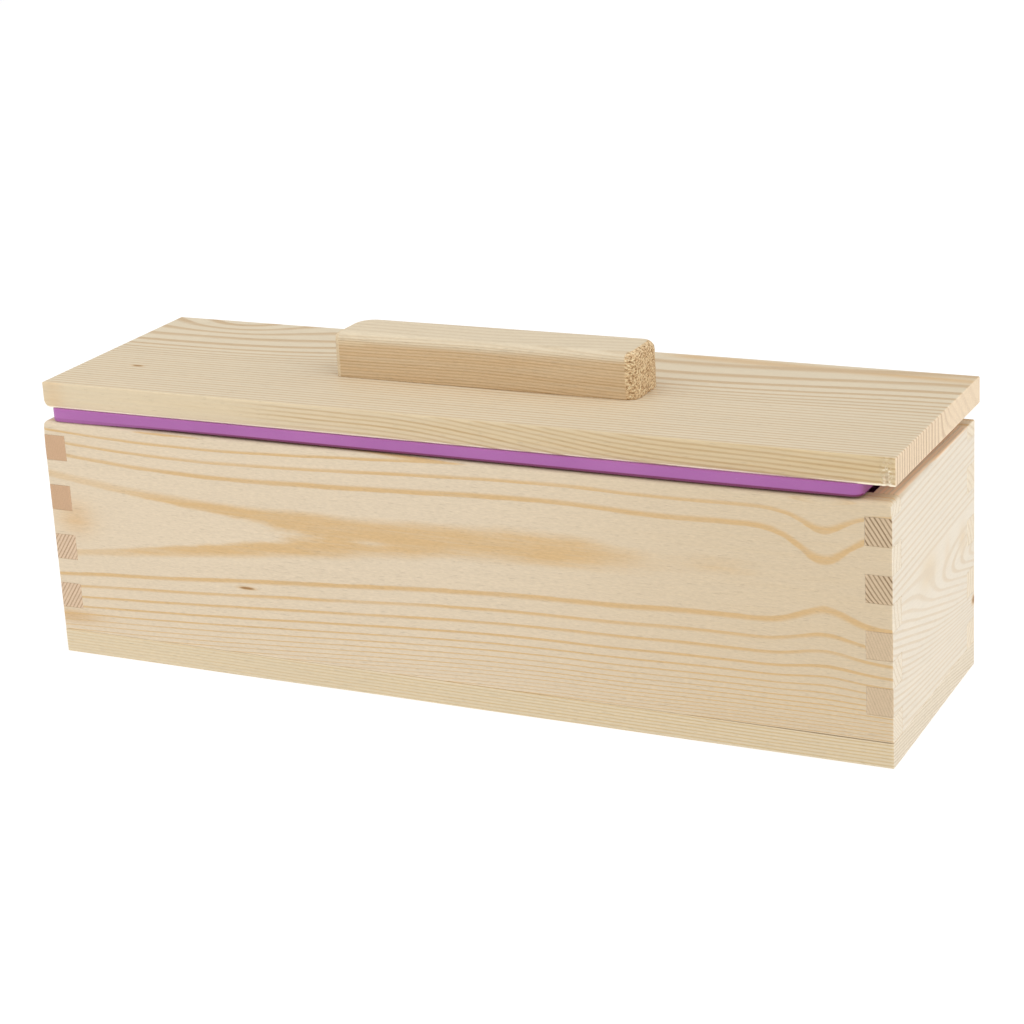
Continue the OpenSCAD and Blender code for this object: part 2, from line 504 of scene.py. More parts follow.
def camera():
    """The camera, aimed at the middle of the box's height."""
    azimuth, elevation, roll = (math.radians(v) for v in (27.125, 18.284, -3.396))
    distance, slide, rise = 0.815, -0.00313, 0.01919
    back = direction(azimuth, elevation)
    level = Vector((math.cos(azimuth), math.sin(azimuth), 0))
    upright = back.cross(level)
    right = level * math.cos(roll) + upright * math.sin(roll)
    up = upright * math.cos(roll) - level * math.sin(roll)
    aim = Vector((0, 0, (bottom_low.z + front_high.z) / 2))
    made = bpy.data.objects.new("camera", bpy.data.cameras.new("camera"))
    bpy.context.scene.collection.objects.link(made)
    made.matrix_world = Matrix.Translation(aim + back * distance + right * slide + up * rise) @ \
        Matrix((right, up, back)).transposed().to_4x4()
    made.data.lens, made.data.sensor_width = 90.17, 36
    made.data.shift_x, made.data.shift_y = 0.0215, -0.0312
    made.data.clip_start, made.data.clip_end = 0.01, 50
    bpy.context.scene.camera = made


camera()


# ---------------------------------------------------------------- the grain of each board

LEFT, RIGHT = front_low.x / MM, front_high.x / MM
FRONT, BACK = front_low.y / MM, back_high.y / MM
WALL_TOP = front_high.z / MM
UPPER_FINGERS = (44.0, 50.0)     # between the end boards' lower two fingers and their upper two


def front_curl(along):
    """1 where the grain curls round a knot that lay beside the board, near its right-hand end."""
    return along.hump(265.0, 11.0)


def front_rings(x, y, z):
    """Nearly tangential: a pale tongue from the left, an orange heart streak, a curl at the right.

    The rings are circles round a centre line deep behind the face. inner is the radius where
    they start, wide and narrow the gaps between them inside and outside it.
    """
    along = x - LEFT
    inner, wide, narrow, narrowing_from = 45.2, 2.9, 2.05, 50.6
    depth = 42.6 - (along / -55.0).math("EXPONENT") * 2.6 + along.above(185.0, 225.0, 0.0, 0.3)
    curl = front_curl(along)
    up = z - along.above(20.0, 190.0, 48.5, 55.0) - along.above(200.0, 245.0, 0.0, 0.7)
    up = up + curl * z.above(48.0, 62.0) * z.above(66.0, 80.0, 4.2, 1.0)
    off = y - (depth + FRONT)
    radius = (up * up + off * off).math("SQRT")
    radius = radius + curl * (z.hump(54.0, 20.0) * 1.45 + z.hump(30.0, 12.0) * 0.6)
    outside = (radius - inner).math("MAXIMUM", 0.0)
    far_outside = (radius - narrowing_from).math("MAXIMUM", 0.0)
    return (radius - inner) / wide + outside * (1 / narrow - 1 / wide) + \
        far_outside * far_outside * 0.034 + 0.71


def front_strength(x, y, z):
    """Plainer low at the right; fainter left in the tongue, in a pale streak, and above the curl."""
    along = x - LEFT
    low_right = along.above(150.0, 260.0, 0.0, 0.3) * z.above(12.0, 30.0, 1.0, 0.0)
    plain = z.above(9.0, 24.0, 0.85, 1.05) + low_right
    tongue = along.above(6.0, 66.0, 0.45, 0.0) * z.above(30.0, 34.0) * z.above(66.0, 70.0, 1.0, 0.0)
    above_curl = front_curl(along) * z.above(75.0, 77.0)
    pale_streak = along.hump(119.0, 6.0) * z.hump(50.6, 1.0) * 0.6
    return plain * (1.0 - tongue) * (1.0 - above_curl) * (1.0 - pale_streak)


pine_front = pine(
    "pine_front", "front_board", 0, front_rings, band=(0.60, 0.67, 0.75, 0.95),
    strength=front_strength, end=srgb(232, 219, 198), end_late=srgb(218, 201, 174),
    sway=0.10, waver=0.045, hair=0.13, knots=(((LEFT + 72.5, 0, 30.6), (3.4, None, 0.55)),),
    stains_and_painted_light=((lambda x, y, z: (x - LEFT).above(130.0, 270.0, 0.0, 0.7), srgb(214, 193, 160)),
            (lambda x, y, z: (x - LEFT).hump(9.0, 7.0) * z.hump(48.0, 5.5) * 0.75, srgb(216, 182, 138)),
            (lambda x, y, z: (x - LEFT).hump(3.0, 12.0) * z.hump(13.0, 2.2) * 0.8, srgb(206, 168, 118))))


def back_rings(x, y, z):
    """Nested arches that follow a centre line from the left down to the right."""
    up = z - x.above(-120.0, 120.0, 42.0, 33.0)
    off = y - (x.above(-140.0, 60.0, 4.0, 12.0) + x.hump(70.0, 40.0) * 5.0)
    radius = (up * up + off * off).math("SQRT") + x.hump(-60.0, 13.0) * z.hump(40.0, 20.0) * 3.0
    return radius / 2.5


pine_back = pine(
    "pine_back", "back_board", 0, back_rings, band=(0.45, 0.72, 0.82, 0.97),
    end=srgb(232, 218, 195), end_late=srgb(221, 203, 176), sway=0.3,
    knots=(((34.0, 0, 61.0), (2.6, None, 0.7)),), seed=4.1)


def right_rings(x, y, z):
    """Straight above, and below sweeping down to a small knot at the back."""
    back = y - FRONT
    above = z - back * 0.035
    below = z + back * z.above(10.0, 30.0, 0.07, 0.27)
    high = z.above(37.0, 55.0)
    slant = z.above(44.0, 52.0, 2.4, 1.5)
    return (below + high * (above - below) + (x - RIGHT) * slant) / 2.2


pine_right = pine(
    "pine_right", "right_end_board", 1, right_rings, band=(0.45, 0.70, 0.84, 1.0),
    early=srgb(227, 216, 198), late=srgb(218, 201, 176), end=srgb(212, 188, 156),
    end_late=srgb(128, 100, 68), end_strength=lambda x, y, z: z.above(*UPPER_FINGERS, 0.16, 0.85),
    sway=0.22, waver=0.05, knots=(((0, BACK - 0.5, 22.0), (None, 2.6, 1.7)),),
    stains_and_painted_light=((lambda x, y, z: (y - FRONT).hump(34.0, 8.0) * z.hump(48.0, 5.0) * 0.55, srgb(222, 198, 160)),
            (lambda x, y, z: (y - FRONT).hump(69.0, 4.0) * z.hump(46.0, 4.5) * 0.55, srgb(220, 194, 156)),
            (lambda x, y, z: (y - FRONT).hump(53.0, 3.0) * z.hump(47.0, 5.0) * 0.30, srgb(222, 196, 158)),
            # painted bounce light: the top strip of the right end board, under the lid's overhang, is
            # painted pale and warm for the warm light bounced in there
            (lambda x, y, z: z.above(WALL_TOP - 0.5, WALL_TOP - 0.1) * 0.9, srgb(238, 206, 172))),
    seed=1.7)


def left_rings(x, y, z):
    """Bowed a little, with a slant that shows on the fingers' end grain."""
    back = y - FRONT
    slant = z.above(44.0, 52.0, 1.5, 2.2)
    return (z + back * 0.05 + back * back * 0.0006 - (x - LEFT) * slant) / 2.1


pine_left = pine(
    "pine_left", "left_end_board", 1, left_rings, band=(0.45, 0.70, 0.84, 1.0),
    early=srgb(224, 208, 182), late=srgb(214, 188, 150), end=srgb(221, 194, 165),
    end_late=srgb(156, 120, 86), end_strength=lambda x, y, z: z.above(*UPPER_FINGERS, 0.62, 0.16),
    end_stains=((lambda x, y, z: z.above(*UPPER_FINGERS) * 0.75, srgb(198, 158, 122)),),
    sway=0.22, knots=(((0, -12.0, 57.0), (None, 2.4, 1.6)),), seed=8.3)


def bottom_rings(x, y, z):
    """Close and almost straight, sinking slowly towards the right."""
    across, up = y - FRONT + 50.0, z + 800.0 + x.above(-140.0, 140.0, 0.0, 1.6)
    return (across * across + up * up).math("SQRT") / 1.05


pine_bottom = pine(
    "pine_bottom", "bottom_board", 0, bottom_rings, band=(0.40, 0.70, 0.84, 1.0),
    early=srgb(222, 205, 174), late=srgb(210, 184, 140), end=srgb(228, 215, 194),
    end_late=srgb(212, 196, 170), sway=0.35, waver=0.06, hair=0.10,
    strength=lambda x, y, z: x.above(-140.0, 100.0, 0.55, 1.0), seed=2.9)

LID_LEFT, LID_RIGHT = lid_low.x / MM, lid_high.x / MM
LID_FRONT, LID_TOP, LID_UNDER = lid_low.y / MM, lid_high.z / MM, lid_low.z / MM


def lid_rings(x, y, z):
    """Fine and straight in front, wide at the back, with nested curves at the back left."""
    along, back = x - LID_LEFT, y - LID_FRONT
    rise = along.hump(112.0, 46.0) * 11.0 + along.above(185.0, 290.0) * 9.0
    shift = rise * back.above(22.0, 66.0) - along.hump(27.0, 21.0) * back.above(62.0, 84.0) * 24.0
    place = back - shift - (LID_TOP - z) * back.above(38.0, 62.0)
    past = (place - 40.0).math("MAXIMUM", 0.0)
    return place * 0.065 + (place - past + (past / 8.5).math("ARCTANGENT") * 8.5) * 0.39


def on_front_edge(y):
    """1 on the lid's front edge, falling to 0 a little over a millimetre behind it."""
    return y.above(LID_FRONT + 0.3, LID_FRONT + 1.2, 1.0, 0.0)


def lid_edge_rings(x, y, z):
    """Lines that slope down the front edge, and how plain they are."""
    along = x - LID_LEFT
    fall = along.above(120.0, 222.0) * 8.5 + along * 0.012 + along.above(215.0, 330.0) * 2.0
    plain = along.above(66.0, 100.0, 0.05, 0.52) + along.above(170.0, 240.0, 0.0, 0.14)
    return (z - LID_UNDER + fall) / 1.45, plain


pine_lid = pine(
    "pine_lid", "lid_board", 0, lid_rings, band=(0.42, 0.74, 0.84, 0.98),
    early=srgb(223, 208, 181), late=srgb(205, 178, 141), end=srgb(232, 210, 180),
    end_late=srgb(196, 166, 134), sway=0.16, waver=0.05, edge_rings=lid_edge_rings,
    edge_late=srgb(184, 150, 104), knots=(((LID_LEFT + 20.5, LID_FRONT + 25.0, 0), (2.4, 0.8, None)),),
    strength=lambda x, y, z: (y - LID_FRONT).above(30.0, 60.0, 1.05, 1.2),
    end_strength=lambda x, y, z: y.above(-5.0, 16.0, 0.95, 0.2),
    stains_and_painted_light=((lambda x, y, z: (x - LID_LEFT).above(178.0, 195.0) *
             (y - LID_FRONT + (x - LID_LEFT - 200.0) * 0.045).hump(80.5, 2.4) * 0.8,
             srgb(214, 178, 130)),
            (lambda x, y, z: on_front_edge(y) * (0.35 + x.above(-140.0, 140.0, 0.0, 0.5)),
             srgb(214, 190, 147)),
            (lambda x, y, z: (x - LID_LEFT).hump(4.0, 4.0) * on_front_edge(y) * 0.4,
             srgb(216, 180, 134)),
            # painted highlight: a pale cream band just above the lid's underside, all round, for the
            # light its lower arris catches from below
            (lambda x, y, z: z.above(LID_UNDER + 0.4, LID_UNDER + 0.75, 1.0, 0.0) * 0.95,
             srgb(255, 243, 218))),
    torn=lambda x, y, z: (x - LID_RIGHT + 2.4).hump(0.0, 1.3) * on_front_edge(y) *
    z.above(LID_TOP - 4.0, LID_TOP - 2.0, 1.0, 0.25), seed=5.5)

HANDLE_LEFT, HANDLE_TOP = handle_low.x / MM, handle_high.z / MM


def handle_rings(x, y, z):
    """Fine lines along the bar's sides, and wide ones on its top."""
    along = x - HANDLE_LEFT
    return (HANDLE_TOP - z + along.above(45.0, 110.0, 0.0, -2.6) + y * 0.30 + along * 0.012) / 0.98 + \
        (HANDLE_TOP - z).above(0.0, 4.0, -1.1, 0.0)


pine_handle = pine(
    "pine_handle", "lid_handle", 0, handle_rings, band=(0.35, 0.70, 0.82, 1.0),
    early=srgb(224, 208, 180), late=srgb(180, 147, 102), end=srgb(232, 199, 154),
    end_late=srgb(166, 126, 82), sway=0.22, waver=0.16, end_from=(0.05, 0.2), cell_mm=0.6, hair=0.11,
    end_strength=lambda x, y, z: z.above(94.0, 106.0, 0.40, 0.65),
    end_stains=((lambda x, y, z: (x - HANDLE_LEFT).above(0.3, 0.7) * x.above(-20.0, -10.0, 0.85, 0.0),
                 srgb(236, 216, 182)),),
    stains_and_painted_light=((lambda x, y, z: (HANDLE_TOP - z + y * 0.03).above(1.6, 3.6) * 0.85, srgb(216, 187, 147)),
            (lambda x, y, z: (x - HANDLE_LEFT).above(9.0, 13.0, 1.0, 0.0) *
             (HANDLE_TOP - z).hump(3.2, 0.9) * 0.8, srgb(228, 208, 174))),
    strength=lambda x, y, z: (HANDLE_TOP - z).above(0.0, 3.0, 0.22, 0.58), rough_ends=1.0, seed=3.2)


# ---------------------------------------------------------------- the wooden pieces

ALONG, THROUGH, UP = 6 * MM, 4 * MM, 5 * MM       # the mesh steps of a wall board


def wall(name, node, xs, ys, filled, material):
    """A wall board on a grid of places, its arrises eased and worn."""
    low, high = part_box(node)
    zs = grid_steps(low.z, high.z, UP, finger_stops + near(high.z, -1))
    mesh = cell_mesh(name, xs, ys, zs, filled)
    ease(mesh, 0.2)
    shift_points(mesh, box_surface)
    piece(name, mesh, "box", material, node)


def long_wall(name, node, material):
    """The front or back board, with its pins between the end boards' fingers."""
    low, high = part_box(node)
    xs = grid_steps(low.x, high.x, ALONG,
                    [LEFT_INNER, RIGHT_INNER, *near(low.x, 1), *near(high.x, -1)])
    ys = grid_steps(low.y, high.y, THROUGH, near(low.y, 1) + near(high.y, -1))
    wall(name, node, xs, ys, lambda x, y, z: LEFT_INNER < x < RIGHT_INNER or not in_finger(z),
         material)


def end_wall(name, node, material):
    """The left or right end board, with its fingers out to the front and back faces."""
    low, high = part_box(node)
    xs = grid_steps(low.x, high.x, THROUGH, near(low.x, 1) + near(high.x, -1))
    ys = grid_steps(low.y, high.y, ALONG,
                    [FRONT_INNER, BACK_INNER, *near(low.y, 1), *near(high.y, -1)])
    wall(name, node, xs, ys, lambda x, y, z: FRONT_INNER < y < BACK_INNER or in_finger(z),
         material)


long_wall("front_wall", "front_board", pine_front)
long_wall("back_wall", "back_board", pine_back)
end_wall("left_end_wall", "left_end_board", pine_left)
end_wall("right_end_wall", "right_end_board", pine_right)


CLEAR = 1 * MM                   # how far a cutter stands out of the face it cuts


def turned(name, profile, places):
    """A closed solid of revolution about an upright axis, repeated at several places.

    profile is (radius, z) pairs from the bottom of the axis to its top, with radius 0 at both ends.
    """
    steps = 24
    shape = bmesh.new()
    for centre in places:
        rings = []
        for radius, z in profile:
            if radius == 0:
                rings.append([shape.verts.new((centre[0], centre[1], z))])
                continue
            rings.append([shape.verts.new((centre[0] + radius * math.cos(2 * math.pi * i / steps),
                                           centre[1] + radius * math.sin(2 * math.pi * i / steps), z))
                          for i in range(steps)])
        for lower, upper in zip(rings, rings[1:]):
            for i in range(steps):
                j = (i + 1) % steps
                loop = [lower[i % len(lower)], lower[j % len(lower)],
                        upper[j % len(upper)], upper[i % len(upper)]]
                shape.faces.new(list(dict.fromkeys(loop)))
    mesh = bpy.data.meshes.new(name)
    shape.to_mesh(mesh)
    shape.free()
    return mesh


def cut_out(mesh, cutter_mesh):
    """The mesh with the cutter taken out of it."""
    body = bpy.data.objects.new("body", mesh)
    cutter = bpy.data.objects.new("cutter", cutter_mesh)
    for o in (body, cutter):
        bpy.context.scene.collection.objects.link(o)
    boolean = body.modifiers.new("cut", "BOOLEAN")
    boolean.operation = "DIFFERENCE"
    boolean.solver = "EXACT"
    boolean.object = cutter
    bpy.context.view_layer.update()
    result = bpy.data.meshes.new_from_object(body.evaluated_get(bpy.context.evaluated_depsgraph_get()))
    for o in (body, cutter):
        bpy.data.objects.remove(o)
    return result


def solid_centres(node):
    """The middle in plan of each separate solid of a CAD node, and its lowest height."""
    shape = bmesh.new()
    shape.from_mesh(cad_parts[node].data)
    bmesh.ops.remove_doubles(shape, verts=shape.verts, dist=1e-6)
    left, centres = set(shape.verts), []
    while left:
        group, edge = set(), [left.pop()]
        while edge:
            v = edge.pop()
            group.add(v)
            for e in v.link_edges:
                other = e.other_vert(v)
                if other in left:
                    left.discard(other)
                    edge.append(other)
        xs, ys = [v.co.x for v in group], [v.co.y for v in group]
        centres.append(((min(xs) + max(xs)) / 2, (min(ys) + max(ys)) / 2, min(v.co.z for v in group)))
    shape.free()
    return sorted(centres)


def bottom():
    """The bottom board, with a pit round each nail's head."""
    low, high = bottom_low, bottom_high
    mesh = cell_mesh("bottom", grid_steps(low.x, high.x, 6 * MM), grid_steps(low.y, high.y, 6 * MM),
                     grid_steps(low.z, high.z, 4 * MM), lambda x, y, z: True)
    ease(mesh, 0.30)
    nails = solid_centres("bottom_nails")
    pit_radius, head_height = 1.7 * MM, 0.9 * MM
    start, end = low.z - CLEAR, nails[0][2] + head_height
    profile = [(0, start), (pit_radius, start), (pit_radius, end), (0, end)]
    mesh = cut_out(mesh, turned("nail_pits", profile, nails))

    def seam(point):
        """The joint under the front wall opens a little towards the right-hand end."""
        opening, opens_from, opens_over = 0.24 * MM, 70 * MM, 50 * MM
        top = max(0.0, 1 - (high.z - point.z) / (2 * MM))
        front = max(0.0, 1 - (point.y - low.y) / (7 * MM))
        right = max(0.0, min(1.0, (point.x - opens_from) / opens_over))
        return box_wobble(point) + Vector((0, 0, -opening * top * front * right))

    shift_points(mesh, seam)
    piece("bottom_panel", mesh, "box", pine_bottom, "bottom_board")


bottom()


def lid():
    """The lid board: round below at the left end, torn at the right front corner, with screw pits."""
    low, high = lid_low, lid_high
    corner = 2.6 * MM
    xs = grid_steps(low.x, high.x, 5 * MM, near(low.x, 1, 6, 0.5) + near(high.x, -1, 16, 0.5))
    ys = grid_steps(low.y, high.y, 5 * MM, near(low.y, 1, 4, 0.5))
    zs = grid_steps(low.z, high.z, 0.9 * MM, near(low.z, 1, 6, 0.5))
    mesh = cell_mesh("lid", xs, ys, zs, lambda x, y, z: True)

    def round_left_underside(point):
        """The lower arris of the left-hand end is rounded over."""
        over_x, over_z = low.x + corner - point.x, low.z + corner - point.z
        if over_x <= 0 or over_z <= 0:
            return Vector()
        scale = max(over_x, over_z) / math.hypot(over_x, over_z)
        return Vector((over_x * (1 - scale), 0, over_z * (1 - scale)))

    shift_points(mesh, round_left_underside)
    ease(mesh, 0.35)

    def torn_corner(point):
        """Fibres torn out of the front face beside the right-hand end."""
        middle, half_width, deepest_mm, inwards = 3.2 * MM, 3.0 * MM, 0.9, 1.5 * MM
        from_end, from_front = high.x - point.x, point.y - low.y
        if from_front > inwards:
            return Vector()
        shreds = noise.noise(Vector((point.x, 0.3 * point.z, 0)) * 900.0)
        share = max(0.0, 1 - abs(from_end - middle) / half_width)
        depth = max(0.0, 0.15 + shreds) * share
        return Vector((0, min(deepest_mm, depth * 1.6) * MM * (1 - from_front / inwards), 0))

    shift_points(mesh, torn_corner)
    shift_points(mesh, lid_wobble)
    screws = solid_centres("handle_screws")
    start, head = low.z - CLEAR, screws[0][2]
    head_radius, neck_radius, cone_height, end = 3.65 * MM, 2.0 * MM, 2.2 * MM, head + 4 * MM
    profile = [(0, start), (head_radius, start), (head_radius, head),
               (neck_radius, head + cone_height), (neck_radius, end), (0, end)]
    mesh = cut_out(mesh, turned("screw_pits", profile, screws))
    piece("lid_panel", mesh, "lid", pine_lid, "lid_board")


lid()


LEAST_CORNER = 0.3 * MM          # an inset ring keeps at least this corner radius


def round_plan(half_x, half_y, corners, arc_steps, straight_x, straight_y):
    """Points round a rectangle with rounded corners, anticlockwise, the same number for any size.

    corners is one radius, or four: back right, back left, front left, front right.
    """
    if isinstance(corners, float):
        corners = (corners,) * 4
    points = []
    for quarter in range(4):
        turn = quarter * math.pi / 2
        sx = 1 if quarter in (0, 3) else -1
        sy = 1 if quarter in (0, 1) else -1
        corner, after = corners[quarter], corners[(quarter + 1) % 4]
        centre = Vector((sx * (half_x - corner), sy * (half_y - corner)))
        for i in range(arc_steps + 1):
            angle = turn + (math.pi / 2) * i / arc_steps
            points.append(centre + corner * Vector((math.cos(angle), math.sin(angle))))
        if quarter % 2 == 0:
            steps = straight_x
            start = Vector((sx * (half_x - corner), sy * half_y))
            end = Vector((-sx * (half_x - after), sy * half_y))
        else:
            steps = straight_y
            start = Vector((sx * half_x, sy * (half_y - corner)))
            end = Vector((sx * half_x, -sy * (half_y - after)))
        points += [start.lerp(end, i / steps) for i in range(1, steps)]
    return points


def quarter_turn(steps, first=1):
    """(1 - cos, 1 - sin) of angles from 0 to a right angle, for the section of a rounded edge."""
    angles = [math.pi / 2 * i / steps for i in range(first, steps + 1)]
    return [(1 - math.cos(angle), 1 - math.sin(angle)) for angle in angles]


def ring_mesh(name, rings):
    """A mesh through rings of points, each a list of the same length, with its ends closed."""
    shape = bmesh.new()
    made = [[shape.verts.new(p) for p in ring] for ring in rings]
    count = len(made[0])
    for lower, upper in zip(made, made[1:]):
        for i in range(count):
            j = (i + 1) % count
            shape.faces.new((lower[i], lower[j], upper[j], upper[i]))
    shape.faces.new(made[0][::-1])
    shape.faces.new(made[-1])
    bmesh.ops.recalc_face_normals(shape, faces=shape.faces)
    mesh = bpy.data.meshes.new(name)
    shape.to_mesh(mesh)
    shape.free()
    return mesh


def handle():
    """The bar: rings from its underside, up its sides and in over its rounded top edge."""
    low, high = handle_low, handle_high
    centre = (low + high) / 2
    half = (high - low) / 2
    corners = (5.0 * MM, 7.5 * MM, 2.2 * MM, 4.0 * MM)
    top_edge, foot_edge = 2.6 * MM, 0.25 * MM
    levels = [(foot_edge, low.z), (0.0, low.z + foot_edge)]
    side = grid_steps(low.z + foot_edge, high.z - top_edge, 0.5 * MM)
    levels += [(0.0, z) for z in side[1:]]
    levels += [(top_edge * inwards, high.z - top_edge * down) for inwards, down in quarter_turn(8)]
    levels += [(inset * MM, high.z) for inset in (3.6, 5.0, 6.6, 8.2, 9.4)]
    rings = []
    for inset, z in levels:
        plan = round_plan(half.x - inset, half.y - inset,
                          [max(corner - inset, LEAST_CORNER) for corner in corners],
                          arc_steps=10, straight_x=48, straight_y=30)
        rings.append([Vector((centre.x + p.x, centre.y + p.y, z)) for p in plan])
    mesh = ring_mesh("handle", rings)

    def sawn(point):
        """The ends are left as the saw left them, the rest is sanded."""
        sawn_length = 4.5 * MM
        end = max(0.0, (abs(point.x - centre.x) - (half.x - sawn_length)) / sawn_length)
        rough = noise.noise(point * 1900.0) * 0.16 * MM * min(1.0, end * 1.5)
        outwards = 1 if point.x > centre.x else -1
        soft = noise.noise(point * 60.0 + Vector((0, 5, 0))) * 0.10 * MM
        return Vector((outwards * (rough - 0.1 * MM * min(1.0, end)), soft, 0))

    shift_points(mesh, sawn)
    piece("handle_bar", mesh, "lid", pine_handle, "lid_handle")


handle()


# ---------------------------------------------------------------- the silicone liner

FLANGE_THICK, FLANGE_REACH = 4.5 * MM, 8.1 * MM
LINER_WALL = 3.0 * MM
FLANGE_UNDER = liner_high.z - FLANGE_THICK


def silicone_material():
    """Matt purple silicone, a little mottled and dusty, with painted shade along the flange's lower edge.
    """
    made, tree, shader = new_material("purple_silicone")
    x, y, z = object_mm(tree)
    mottle = cloud(tree, vector(tree, x / 30.0, y / 30.0, z / 30.0), detail=3.0)
    grain = cloud(tree, vector(tree, x / 0.5, y / 0.5, z / 0.5), detail=3.0, roughness=0.6)
    dust = cloud(tree, vector(tree, x / 0.7, y / 0.7, z / 0.7 + 40.0), detail=1.0).above(0.56, 0.68)
    colour = blend_colour(mottle.above(-0.6, 0.6), srgb(165, 93, 161), srgb(176, 104, 170))
    colour = blend_colour(dust * 0.35, colour, srgb(214, 170, 214))
    under, side = FLANGE_UNDER / MM, liner_high.y / MM
    outer = y.math("ABSOLUTE").above(side - 3.0, side - 2.0)
    # painted shade: a dark maroon band along the flange's lower outer edge stands in for the shadow gap
    # beneath it, fainter towards the left end
    painted_shade_under_flange = z.above(under + 1.25, under + 1.6, 1.0, 0.0) * outer
    painted_shade_under_flange = painted_shade_under_flange * x.above(-130.0, -60.0, 0.25, 0.95)
    colour = blend_colour(painted_shade_under_flange, colour, srgb(112, 30, 78))
    plug(colour, shader.inputs["Base Color"])
    plug(0.46 + grain * 0.05 + mottle * 0.03, shader.inputs["Roughness"])
    shader.inputs["Specular IOR Level"].default_value = 0.45
    shader.inputs["Subsurface Weight"].default_value = 0.12
    shader.inputs["Subsurface Radius"].default_value = (1.0, 0.35, 1.0)
    shader.inputs["Subsurface Scale"].default_value = 1.2 * MM
    shader.inputs["Sheen Weight"].default_value = 0.05
    shader.inputs["Sheen Roughness"].default_value = 0.5
    plug(bumped(tree, grain * 0.6 + mottle * 2.0, 0.05, 0.6), shader.inputs["Normal"])
    return made


def liner():
    """One skin from the middle of the underside, round the flange, to the middle of the floor."""
    low, high = liner_low, liner_high
    centre = (low + high) / 2
    flange = (high - low) / 2
    body = Vector((flange.x - FLANGE_REACH, flange.y - FLANGE_REACH))
    cavity = Vector((body.x - LINER_WALL, body.y - LINER_WALL))
    floor = low.z + LINER_WALL
    body_corner, cavity_corner, rim_corner = 5 * MM, 3 * MM, 3.0 * MM      # in plan
    foot_round, floor_round = 3 * MM, 2 * MM                               # in section
    neck_round, rim_round, top_round, mouth_round = 0.8 * MM, 0.8 * MM, 0.4 * MM, 1.0 * MM
    flat_corner, middle_corner, level_step = 2.5 * MM, 0.6 * MM, 8 * MM
    rings = []

    def ring(half, inset, corner, z):
        plan = round_plan(half.x - inset, half.y - inset, max(corner, LEAST_CORNER),
                          arc_steps=8, straight_x=60, straight_y=16)
        rings.append([Vector((centre.x + p.x, centre.y + p.y, z)) for p in plan])

    for inset in (28.0, 20.0, 12.0, 6.0):
        ring(body, inset * MM, middle_corner, low.z)
    for up, inwards in quarter_turn(5, first=0):
        inset = foot_round * inwards
        ring(body, inset, body_corner - inset, low.z + foot_round * up)
    for z in grid_steps(low.z + foot_round, FLANGE_UNDER - neck_round, level_step)[1:]:
        ring(body, 0.0, body_corner, z)
    for outwards, down in quarter_turn(3):
        ring(body, -neck_round * outwards, body_corner, FLANGE_UNDER - neck_round * down)
    ring(flange, 5.0 * MM, flat_corner, FLANGE_UNDER)
    ring(flange, 2.5 * MM, flat_corner, FLANGE_UNDER)
    for up, inwards in quarter_turn(5, first=0):
        inset = rim_round * inwards
        ring(flange, inset, rim_corner - inset, FLANGE_UNDER + rim_round * up)
    ring(flange, 0.0, rim_corner, (FLANGE_UNDER + high.z) / 2)
    for inwards, down in quarter_turn(3, first=0):
        inset = top_round * inwards
        ring(flange, inset, rim_corner - inset, high.z - top_round * down)
    ring(flange, 3.5 * MM, flat_corner, high.z)
    ring(flange, 7.0 * MM, flat_corner, high.z)
    for down, outwards in quarter_turn(4, first=0):
        outset = mouth_round * outwards
        ring(cavity, -outset, cavity_corner + outset, high.z - mouth_round * down)
    for z in reversed(grid_steps(floor + floor_round, high.z - mouth_round, level_step)[:-1]):
        ring(cavity, 0.0, cavity_corner, z)
    for inwards, up in quarter_turn(5):
        inset = floor_round * inwards
        ring(cavity, inset, cavity_corner - inset, floor + floor_round * up)
    for inset in (6.0, 12.0, 20.0, 26.0):
        ring(cavity, inset * MM, middle_corner, floor)
    mesh = ring_mesh("liner", rings)

    def soft(point):
        """Silicone never lies quite flat: the walls wander, and the flange lifts off the rim a bit."""
        most_lift_mm, lifted_height = 0.6, 1.5 * MM
        share = max(0.0, (point.z - floor) / (high.z - floor))
        along = noise.noise(Vector((point.x * 14.0, 0, 0.5)))
        lift = 0.0
        outside = max(abs(point.x - centre.x) - body.x, abs(point.y - centre.y) - body.y)
        if outside > 1.5 * MM and point.z < FLANGE_UNDER + lifted_height:
            towards_right = min(1.0, max(0.0, (point.x - centre.x) / (35 * MM) + 3.6))
            lift = most_lift_mm * towards_right * (1 + 0.4 * along) * \
                (1 - max(0.0, (point.z - FLANGE_UNDER) / lifted_height))
        return Vector((0, along * 0.25 * MM * share, lift * MM))

    shift_points(mesh, soft)
    piece("liner_skin", mesh, "liner", silicone_material(), "liner")


liner()


# ---------------------------------------------------------------- metal: the CAD nodes keep their shape

def metal(name, colour, roughness):
    """Plain metal with fine scratches along Z and dull brown stain patches."""
    made, tree, shader = new_material(name)
    x, y, z = object_mm(tree)
    scratches = cloud(tree, vector(tree, x / 0.25, y / 0.25, z / 0.9), detail=3.0, roughness=0.7)
    tint_field = cloud(tree, vector(tree, x / 4.0, y / 4.0, z / 4.0), detail=2.0)
    tone = 1.0 + scratches * 0.10 + tint_field * 0.12
    stained = blend_colour(tint_field.above(0.1, 0.7, 0.0, 0.3), colour, srgb(120, 96, 70))
    plug(scale_colour(stained, tone), shader.inputs["Base Color"])
    shader.inputs["Metallic"].default_value = 1.0
    plug(roughness + scratches * 0.12, shader.inputs["Roughness"])
    plug(bumped(tree, scratches, 0.02, 0.5), shader.inputs["Normal"])
    return made


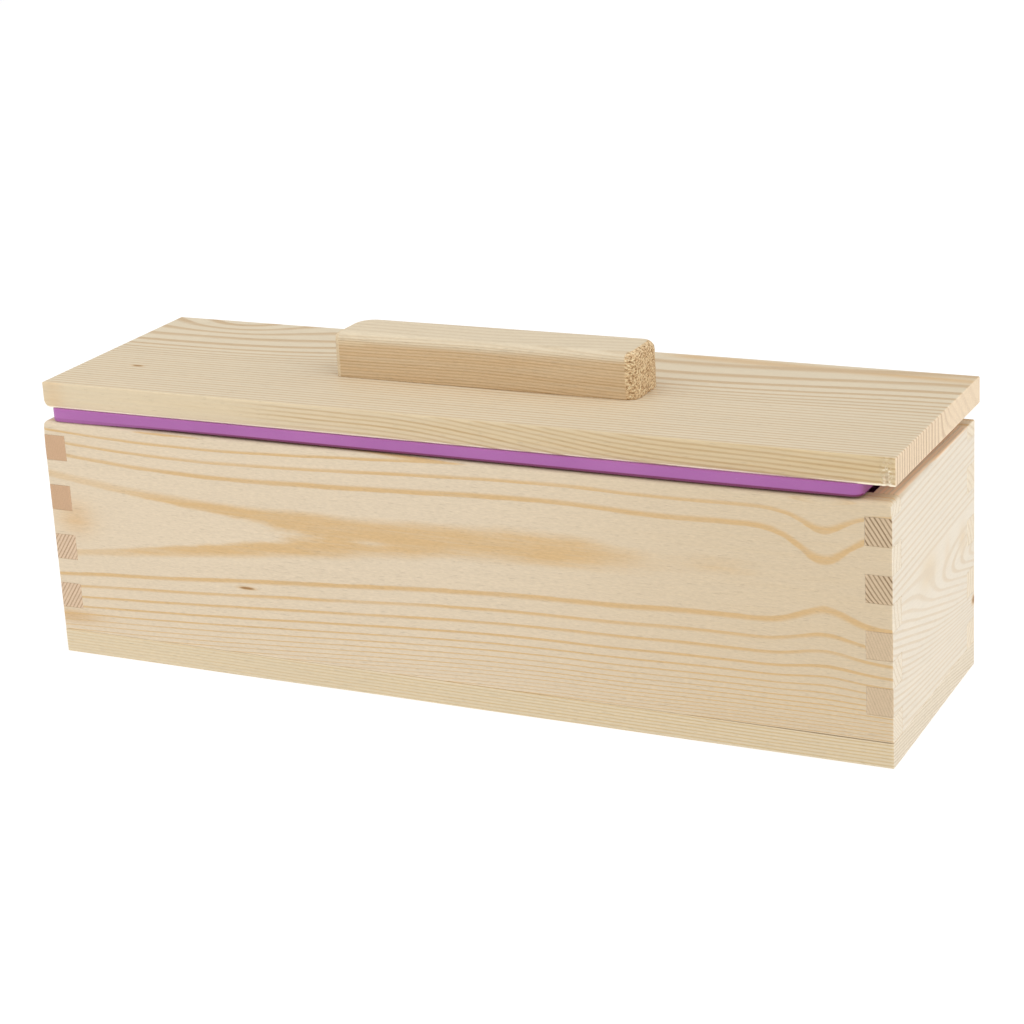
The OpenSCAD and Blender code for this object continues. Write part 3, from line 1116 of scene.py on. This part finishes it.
def dress(node, material):
    """Gives a CAD node its material, and eases its edges with a modifier."""
    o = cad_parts[node]
    o.data.materials.clear()
    o.data.materials.append(material)
    bevel = o.modifiers.new("eased_edges", "BEVEL")
    bevel.width = 0.06 * MM
    bevel.segments = 2
    bevel.limit_method = "ANGLE"
    bevel.angle_limit = math.radians(35)


dress("bottom_nails", metal("steel_nail", srgb(168, 168, 170), 0.38))
dress("handle_screws", metal("zinc_yellow", srgb(206, 186, 128), 0.32))


# ---------------------------------------------------------------- studio

WHITE = (1.0, 1.0, 1.0, 1.0)


def studio():
    """An even white world, a pale floor that glows a little, and three soft lights."""
    scene = bpy.context.scene
    scene.view_settings.view_transform = "Standard"
    scene.view_settings.look = "None"
    world = bpy.data.worlds.new("studio")
    scene.world = world
    world.use_nodes = True
    background = world.node_tree.nodes["Background"]
    background.inputs["Color"].default_value = WHITE
    background.inputs["Strength"].default_value = 0.55

    reach, drop = 45.0, 0.1 * MM     # as far as a low camera sees, and just under the feet
    floor_mesh = bpy.data.meshes.new("floor")
    corners = [(-reach, -reach, 0), (reach, -reach, 0), (reach, reach, 0), (-reach, reach, 0)]
    floor_mesh.from_pydata(corners, [], [(0, 1, 2, 3)])
    floor = bpy.data.objects.new("floor", floor_mesh)
    floor.location.z = -drop
    scene.collection.objects.link(floor)
    made, _, shader = new_material("studio_floor")
    shader.inputs["Base Color"].default_value = (0.35, 0.35, 0.35, 1.0)
    shader.inputs["Roughness"].default_value = 0.9
    shader.inputs["Specular IOR Level"].default_value = 0.1
    shader.inputs["Emission Color"].default_value = WHITE
    shader.inputs["Emission Strength"].default_value = 0.75
    floor_mesh.materials.append(made)

    aim = Vector((0, 0, 0.05))
    for name, azimuth, elevation, distance, size, power in (
            ("key", 88.0, 24.0, 2.6, 3.4, 33.0),
            ("front", -50.0, 36.0, 0.7, 0.7, 1.25),
            ("top", 20.0, 82.0, 2.6, 2.6, 20.5)):
        away = direction(math.radians(azimuth), math.radians(elevation))
        lamp = bpy.data.lights.new(name, "AREA")
        lamp.size = size
        lamp.energy = power
        light = bpy.data.objects.new(name, lamp)
        light.location = aim + away * distance
        light.rotation_mode = "QUATERNION"
        light.rotation_quaternion = (-away).to_track_quat("-Z", "Y")
        scene.collection.objects.link(light)


studio()
